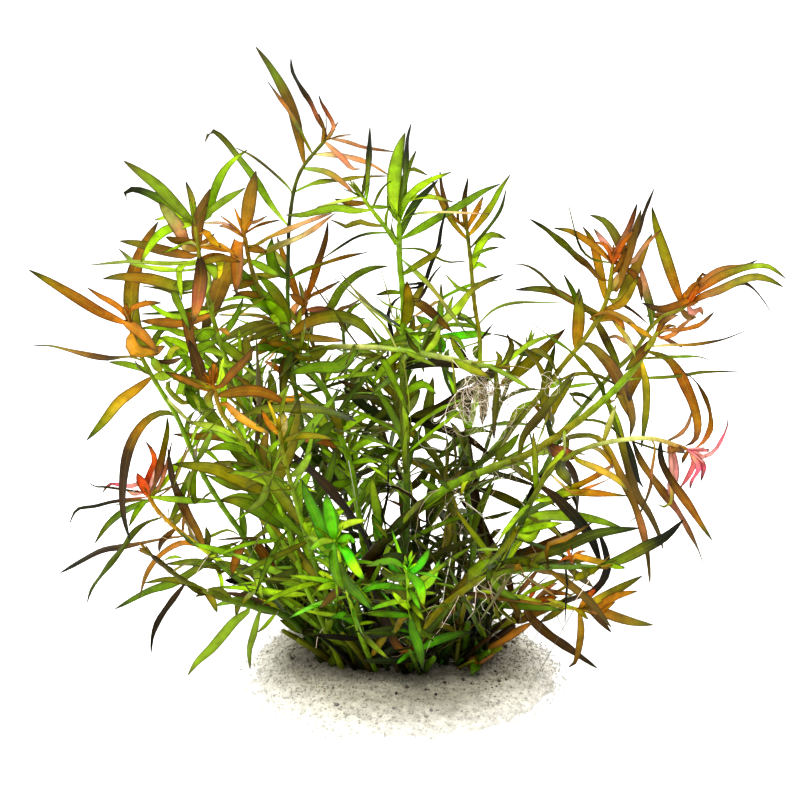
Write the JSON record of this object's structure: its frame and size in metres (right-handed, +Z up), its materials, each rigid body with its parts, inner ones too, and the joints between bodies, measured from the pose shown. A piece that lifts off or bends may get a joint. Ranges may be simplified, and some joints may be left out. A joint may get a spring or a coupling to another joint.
{
  "type": "ludwigia lacustris plant",
  "caption": "Dense bush of an aquarium stem plant with long narrow green to rust-red leaves on fanned stems, rooted in a low patch of pale sand.",
  "frame": {"origin": "middle of the sand bed's flat underside", "axes": "+Z up, +Y from the viewer's side to the back, +X to the viewer's right"},
  "size_m": [0.31, 0.2229, 0.2519],
  "materials": {
    "leaf_brown": "satin",
    "leaf_green": "satin",
    "leaf_lime": "satin",
    "leaf_ochre": "satin",
    "leaf_olive": "satin",
    "leaf_rust": "satin",
    "roots": "matte",
    "sand": "matte",
    "stem_brown": "satin",
    "stem_dark_green": "satin",
    "stem_green": "satin",
    "stem_lime": "satin",
    "stem_ochre": "satin",
    "stem_olive": "satin"
  },
  "bodies": {
    "root": {"stem_tall": "stem_dark_green", "stem_left_crown": "stem_olive", "stem_left_arching": "stem_green", "stem_left_outer": "stem_olive", "stem_left_green": "stem_lime", "stem_left_inner": "stem_lime", "stem_left_low": "stem_ochre", "stem_left_creeping": "stem_brown", "stem_left_dark": "stem_brown", "stem_orange_crown": "stem_olive", "stem_yellow_crown": "stem_ochre", "stem_centre": "stem_green", "stem_centre_thick": "stem_olive", "stem_centre_slim": "stem_green", "stem_centre_dark": "stem_brown", "stem_slim_dark": "stem_dark_green", "stem_right_high": "stem_dark_green", "stem_right_long": "stem_lime", "stem_right_back": "stem_dark_green", "stem_right_pink": "stem_lime", "stem_right_low": "stem_ochre", "stem_right_yellow": "stem_ochre", "stem_front_left": "stem_green", "stem_front_right": "stem_green", "stem_back_left": "stem_dark_green", "stem_back_right": "stem_dark_green", "stem_centre_fork": "stem_green", "stem_across": "stem_lime", "leaf_tall_top": "leaf_rust", "leaf_tall_red": "leaf_rust", "leaf_tall_right": "leaf_rust", "leaf_tall_long": "leaf_green", "leaf_crown_green": "leaf_olive", "leaf_crown_upright": "leaf_brown", "leaf_crown_red": "leaf_rust", "leaf_arching_tip": "leaf_ochre", "leaf_outer_orange": "leaf_rust", "leaf_outer_thin": "leaf_brown", "leaf_outer_olive": "leaf_olive", "leaf_green_wide": "leaf_olive", "leaf_low_long": "leaf_rust", "leaf_low_curved": "leaf_green", "leaf_low_thin": "leaf_olive", "leaf_creeping_dark": "leaf_brown", "leaf_orange_upright": "leaf_rust", "leaf_centre_top": "leaf_lime", "leaf_centre_long": "leaf_green", "leaf_fork_side": "leaf_olive", "leaf_high_long": "leaf_olive", "leaf_high_upright": "leaf_olive", "leaf_back_long": "leaf_olive", "leaf_back_wide": "leaf_rust", "leaf_long_hanging": "leaf_rust", "leaf_long_brown": "leaf_brown", "leaf_pink_trailing": "leaf_rust", "leaf_low_right": "leaf_olive", "leaf_yellow_orange": "leaf_rust", "leaf_front": "leaf_lime", "root_tuft": "roots", "sand_bed": "sand"}
  },
  "joints": []
}
